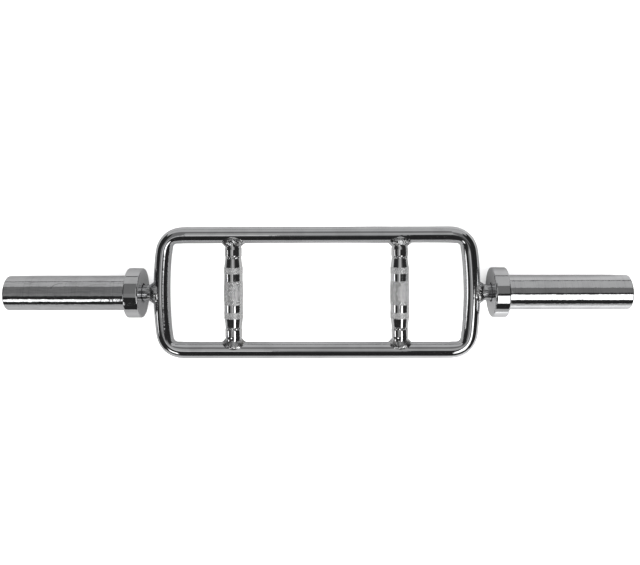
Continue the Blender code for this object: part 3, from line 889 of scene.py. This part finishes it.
def tube_material():
    """Chrome with the faint rings that plates wear, lengthwise lines that are stronger on
    the left tube, and one curved mark there."""
    material, tree = new_material("tube_chrome")
    place = object_place(tree)
    x, y, z = add_node(tree, "ShaderNodeSeparateXYZ", Vector=place).outputs
    worn = use_group(tree, polish, Place=place, Scratches=0.8)
    rings = noise(tree, stretched(tree, place, plate_ring_grain), 1.0, 3.0)
    rub = calc(tree, "MULTIPLY", fade(tree, rings, 0.5, 0.72), plate_ring_wear)
    lines = noise(tree, stretched(tree, place, drawn_grain), 1.0, 3.0)
    on_left = calc(tree, "LESS_THAN", x, 0.0)
    drawn = calc(tree, "MULTIPLY_ADD", on_left, drawn_left - drawn_right, drawn_right)
    rub = calc(tree, "MULTIPLY_ADD", fade(tree, lines, 0.4, 0.65), drawn, rub)
    dull = chain(tree, "MAXIMUM", worn["Scratch"], rub, tube_mark(tree, x, y, z))
    grey = calc(tree, "MULTIPLY_ADD", worn["Haze"], tube_greying, dull)
    color = shade(tree, grey, tube_bright, tube_worn)
    spread = calc(tree, "MULTIPLY_ADD", dull, tube_roughness, mirror_roughness)
    metal(tree, color, spread, worn["Height"], tube_wave)
    return material


tube_chrome = tube_material()
for side, way in (("left", -1), ("right", 1)):
    mesh = skin(side + "_plate_tube", turned_points(tube_section, way, tube_columns), closed=True)
    place_piece(side + "_plate_tube", mesh, tube_chrome, "chrome", side + "_sleeve", "sleeve_tube_" + side)


# Hubs
# Steel plugs pressed into both ends of each tube, bored for the bushes. The outer one
# has a counterbore that hides the end screw, and both are turned and left bright.
plug_radius = tube_inside - fit_gap
seat_radius = 0.0128
counterbore_radius = 0.016
bush_flange = 0.002
inner_hub_box, end_hub_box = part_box("inner_hub_right"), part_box("end_hub_right")
outer_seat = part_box("outer_bush_right")[1].x - bush_flange - fit_gap
hub_edges = [0.0006, 0.0006, 0.0004, 0.0004, 0.0002, 0.0002]
lathe_grain, lathe_roughness = (3200.0, 30.0, 30.0), 0.12
oil_grain, oil_roughness = 70.0, 0.08
rub_brightness, rubbed_edges = 1.25, 0.5


def turned_material(name, color, dark, roughness, line_depth):
    """A lathe or grinder's finish: fine rings square to the X axis, with stains of oil."""
    material, tree = new_material(name)
    place = object_place(tree)
    lines = noise(tree, stretched(tree, place, lathe_grain), 1.0, 2.0)
    stain = fade(tree, noise(tree, place, oil_grain, 4.0), 0.45, 0.75)
    rub = use_group(tree, corner_rub, Place=place, Amount=rubbed_edges)["Rub"]
    bright = tuple(min(1.0, rub_brightness * part) for part in color)
    tint = add_node(
        tree, "ShaderNodeMix", {"data_type": "RGBA"}, at0=rub, at6=shade(tree, stain, color, dark),
        at7=(*bright, 1)).outputs[2]
    spread = calc(tree, "MULTIPLY_ADD", lines, lathe_roughness, roughness)
    spread = calc(tree, "MULTIPLY_ADD", stain, oil_roughness, spread)
    metal(tree, tint, spread, lines, line_depth)
    return material


hub_steel = turned_material("hub_steel", (0.5, 0.5, 0.515), (0.3, 0.29, 0.28), 0.2, 0.00002)
inner_hub_section = round_corners(
    [(seat_radius, inner_hub_box[1].x), (plug_radius, inner_hub_box[1].x), (plug_radius, inner_hub_box[0].x),
     (seat_radius, inner_hub_box[0].x)], [0.0004] * 4, closed=True)
end_hub_section = round_corners(
    [(counterbore_radius, end_hub_box[1].x), (plug_radius, end_hub_box[1].x), (plug_radius, end_hub_box[0].x),
     (seat_radius, end_hub_box[0].x), (seat_radius, outer_seat), (counterbore_radius, outer_seat)],
    hub_edges, closed=True)
for side, way in (("left", -1), ("right", 1)):
    for name, section, node in (
            ("_inner_plug", inner_hub_section, "inner_hub_"), ("_end_plug", end_hub_section, "end_hub_")):
        mesh = skin(side + name, turned_points(section, way), closed=True)
        place_piece(side + name, mesh, hub_steel, "ground_steel", side + "_sleeve", node + side)


# Bushes
# Oiled bronze bushes, turned with a flange and pressed into the hubs. The journal turns
# in them, and the flanges run against the thrust washers.
bush_bore, bush_outside, flange_radius = 0.0103, 0.0125, 0.0135
bush_bronze = turned_material("bush_bronze", (0.62, 0.4, 0.19), (0.3, 0.17, 0.08), 0.28, 0.00002)


def bush_section(box, flange_end):
    """A flanged sleeve: the flange is at the box's low or high end."""
    low, high = box[0].x, box[1].x
    body = [(bush_bore, high), (bush_outside, high), (bush_outside, low + bush_flange),
            (flange_radius, low + bush_flange), (flange_radius, low), (bush_bore, low)]
    if flange_end == "high":
        body = [(radius, low + high - distance) for radius, distance in body[::-1]]
    return round_corners(body, [0.0003] * 6, closed=True)


for side, way in (("left", -1), ("right", 1)):
    for place, flange_end in (("inner", "low"), ("outer", "high")):
        section = bush_section(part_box(place + "_bush_right"), flange_end)
        name = f"{side}_{place}_bronze_bush"
        place_piece(
            name, skin(name, turned_points(section, way), closed=True), bush_bronze, "bronze",
            side + "_sleeve", f"{place}_bush_{side}")


# Thrust and retaining washers
# Ground steel rings: two take the side load between each bush and its stop, and a wide
# one under the end screw keeps the sleeve on the journal.
washer_steel = turned_material("washer_steel", (0.54, 0.54, 0.56), (0.34, 0.33, 0.32), 0.22, 0.00002)
washers = {
    "_inner_thrust_ring": ("inner_thrust_washer", bush_bore, flange_radius),
    "_outer_thrust_ring": ("outer_thrust_washer", bush_bore, flange_radius),
    "_retaining_ring": ("retaining_washer", drill_radius, counterbore_radius - 2 * fit_gap),
}
for side, way in (("left", -1), ("right", 1)):
    for name, (node, bore, outside) in washers.items():
        low, high = (corner.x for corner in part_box(node + "_right"))
        section = round_corners(
            [(bore, high), (outside, high), (outside, low), (bore, low)], [0.0003] * 4, closed=True)
        mesh = skin(side + name, turned_points(section, way), closed=True)
        place_piece(side + name, mesh, washer_steel, "ground_steel", "frame", node + "_" + side)


# Lock washers
# Split washers of square spring steel wire, coiled a little so that the cut ends bite
# under the screw's head and keep it from working loose.
lock_low, lock_high = (corner.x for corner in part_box("lock_washer_right"))
lock_bore, lock_outside = drill_radius, 0.009
lock_split = 0.0025
lock_twist = 0.0005
lock_rows = 90
spring_steel = turned_material("spring_steel", (0.42, 0.41, 0.41), (0.2, 0.18, 0.16), 0.3, 0.00001)


def lock_points(way):
    """A rounded square carried round the X axis from one side of the split to the other,
    while it climbs by the twist, with each end drawn in to its middle."""
    thickness = lock_high - lock_low - lock_twist
    square = round_corners(
        [(lock_bore, thickness), (lock_outside, thickness), (lock_outside, 0.0), (lock_bore, 0.0)],
        [0.0002] * 4, closed=True)
    half_split = np.arcsin(lock_split / 2 / lock_outside)
    angle = np.linspace(half_split, 2 * np.pi - half_split, lock_rows)
    angle = np.concatenate([angle[:1], angle, angle[-1:]])[:, None]
    climb = lock_twist * (angle - angle[0]) / (angle[-1] - angle[0])
    middle = np.array([(lock_bore + lock_outside) / 2, thickness / 2])
    shrink = np.ones_like(angle)
    shrink[[0, -1]] = 0.0
    radius = middle[0] + shrink * (square[:, 0] - middle[0])
    x = way * (lock_low + middle[1] + shrink * (square[:, 1] - middle[1]) + climb)
    return np.stack([x, radius * np.sin(angle), radius * np.cos(angle)], axis=-1)


for side, way in (("left", -1), ("right", 1)):
    mesh = skin(side + "_split_washer", lock_points(way), closed=False)
    place_piece(side + "_split_washer", mesh, spring_steel, "ground_steel", "frame", "lock_washer_" + side)


# End screws
# Blackened steel socket head screws with a knurled rim, driven into the tapped journals
# to hold the washers on.
screw_low, screw_high = (corner.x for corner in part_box("end_screw_right"))
head_radius, head_height = 0.008, 0.01
shank_radius, thread_pitch, thread_depth = 0.005, 0.0015, 0.0008
socket_half, socket_depth, socket_tip = 0.004, 0.005, 0.0018
rim_ridges, ridge_depth = 36, 0.00035
screw_columns = 144
thread_rows = 8
thread_start, thread_stop = 0.002, 0.0012
screw_black = turned_material("screw_black", (0.055, 0.055, 0.06), (0.16, 0.13, 0.1), 0.32, 0.00001)


def screw_points(way):
    """From the socket's tip out over the head, down its ridged rim and along the thread.

    The socket's radius is its half width over the cosine of the angle from the nearest
    flat. The rim is notched by a triangle wave round it, and the thread by one that
    turns once a pitch along the shank.
    """
    turns = np.linspace(0, 1, screw_columns, endpoint=False)[None]
    flat = 2 * np.pi * (((6 * turns) % 1.0) - 0.5) / 6
    hexagon = socket_half / np.cos(flat)
    top, seat = screw_high, screw_high - head_height
    ones = np.ones_like(turns)
    socket_rows = [
        (0.0 * ones, top - socket_depth - socket_tip), (0.999 * socket_half * ones, top - socket_depth),
        (hexagon, top - socket_depth), (hexagon, top - socket_depth + 0.0002), (hexagon, top - 0.0008),
        (hexagon + 0.0001, top - 0.0005), ((socket_half + 0.0009) * ones, top)]
    rim = triangle_wave(rim_ridges * turns)
    head_rows = [((head_radius - 0.0009) * ones, top), ((head_radius - 0.0005) * ones, top - 0.00008)]
    head_rows += [((head_radius - 0.0002) * ones, top - 0.0004)]
    head_rows += [
        (head_radius - ridge_depth * rim, height) for height in (top - 0.0007, top - 0.0009, seat + 0.0016)]
    head_rows += [(radius * ones, height) for radius, height in (
        (head_radius - ridge_depth, seat + 0.0013), (head_radius - ridge_depth, seat + 0.0002),
        (head_radius - 0.0006, seat), (shank_radius + 0.0004, seat), (shank_radius, seat - 0.0004))]
    start, end = seat - thread_start, screw_low + thread_stop
    rows = int(round((start - end) / thread_pitch * thread_rows))
    along = np.linspace(start, end, rows)[:, None]
    ease = np.clip(np.minimum(start - along, along - end) / thread_pitch, 0, 1)
    groove = triangle_wave(along / thread_pitch + turns)
    thread = shank_radius - thread_depth * ease * groove
    tip_rows = [((shank_radius - 0.0008) * ones, screw_low), (0.0 * ones, screw_low)]
    radius = np.vstack([*(r for r, _ in socket_rows + head_rows), shank_radius * ones, thread,
                        *(r for r, _ in tip_rows)])
    height = np.concatenate([[h for _, h in socket_rows + head_rows], [start + 0.0002], along[:, 0],
                             [h for _, h in tip_rows]])[:, None]
    x = np.broadcast_to(way * height, radius.shape)
    angle = 2 * np.pi * turns
    return np.stack([x, radius * np.cos(angle), radius * np.sin(angle)], axis=-1)


for side, way in (("left", -1), ("right", 1)):
    mesh = skin(side + "_socket_screw", screw_points(way), closed=False)
    place_piece(side + "_socket_screw", mesh, screw_black, "black_oxide", "frame", "end_screw_" + side)
